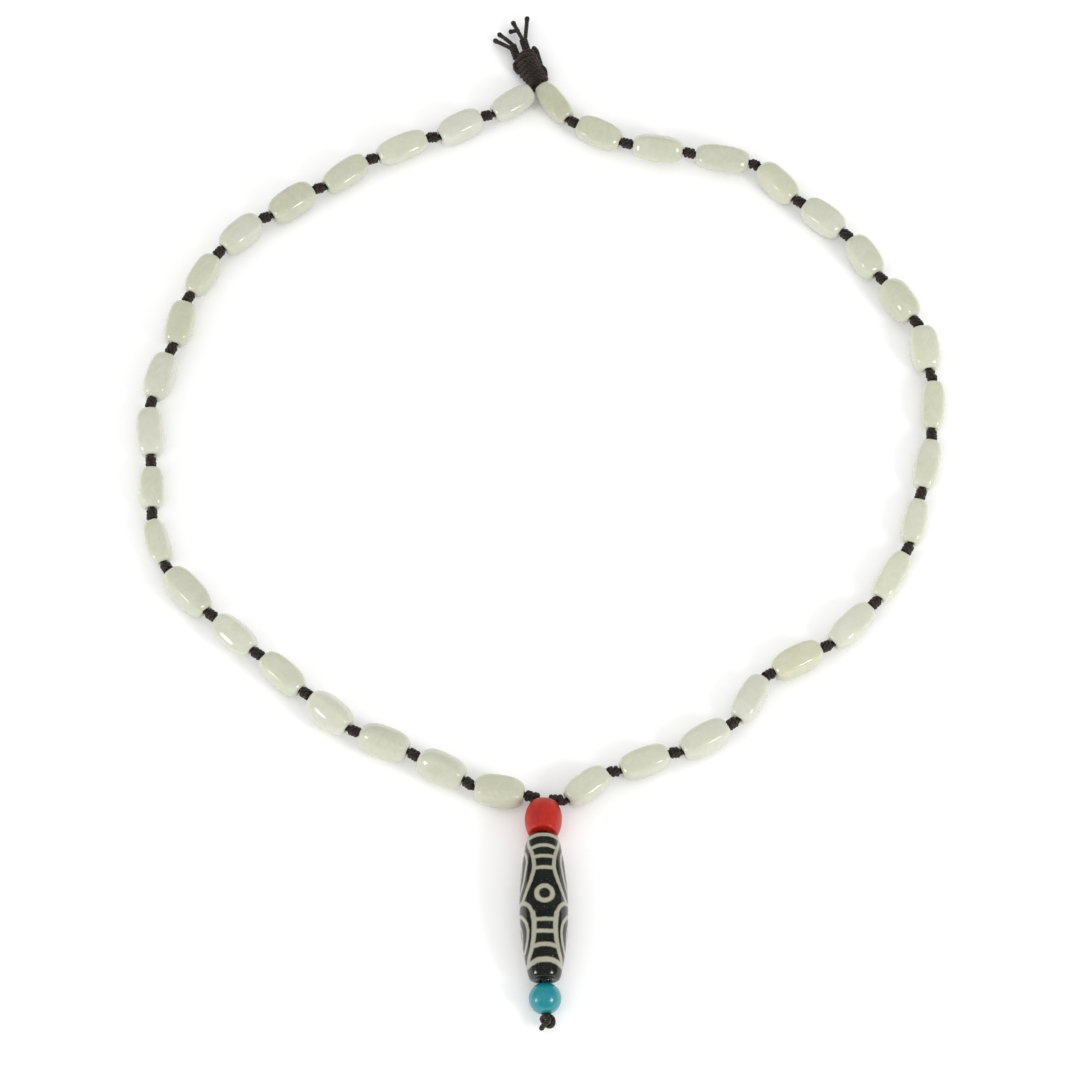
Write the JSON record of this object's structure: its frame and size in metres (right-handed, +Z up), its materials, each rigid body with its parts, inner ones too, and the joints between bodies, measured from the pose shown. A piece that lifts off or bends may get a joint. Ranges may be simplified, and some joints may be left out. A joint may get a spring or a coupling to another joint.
{
  "type": "dzi bead necklace",
  "caption": "Necklace of pale jade barrel beads on a knotted dark cord, with a patterned dzi bead, a coral bead and a turquoise bead as its pendant.",
  "frame": {"origin": "the point on the surface that the necklace lies on, below the middle of its extents", "axes": "+Z up from the surface, +Y from the pendant's end towards the tie at the back, the necklace's longest extent, +X to the right"},
  "size_m": [0.2092, 0.2898, 0.0123],
  "materials": {
    "jade": "polished",
    "cord": "waxed cord",
    "coral": "satin",
    "dzi": "polished",
    "turquoise": "polished"
  },
  "bodies": {
    "root": {"jade_bead_l01": "jade", "jade_bead_l02": "jade", "jade_bead_l03": "jade", "jade_bead_l04": "jade", "jade_bead_l05": "jade", "jade_bead_l06": "jade", "jade_bead_l07": "jade", "jade_bead_l08": "jade", "jade_bead_l09": "jade", "jade_bead_l10": "jade", "jade_bead_l11": "jade", "jade_bead_l12": "jade", "jade_bead_l13": "jade", "jade_bead_l14": "jade", "jade_bead_l15": "jade", "jade_bead_l16": "jade", "jade_bead_l17": "jade", "jade_bead_l18": "jade", "jade_bead_l19": "jade", "jade_bead_r01": "jade", "jade_bead_r02": "jade", "jade_bead_r03": "jade", "jade_bead_r04": "jade", "jade_bead_r05": "jade", "jade_bead_r06": "jade", "jade_bead_r07": "jade", "jade_bead_r08": "jade", "jade_bead_r09": "jade", "jade_bead_r10": "jade", "jade_bead_r11": "jade", "jade_bead_r12": "jade", "jade_bead_r13": "jade", "jade_bead_r14": "jade", "jade_bead_r15": "jade", "jade_bead_r16": "jade", "jade_bead_r17": "jade", "jade_bead_r18": "jade", "jade_bead_r19": "jade", "knotted_cord_left": "cord", "knotted_cord_right": "cord", "pendant_cord": "cord", "end_knot": "cord", "closing_knot": "cord", "cord_ends_left": "cord", "cord_ends_right": "cord", "coral_bead": "coral", "dzi_bead": "dzi", "turquoise_bead": "turquoise"}
  },
  "joints": []
}
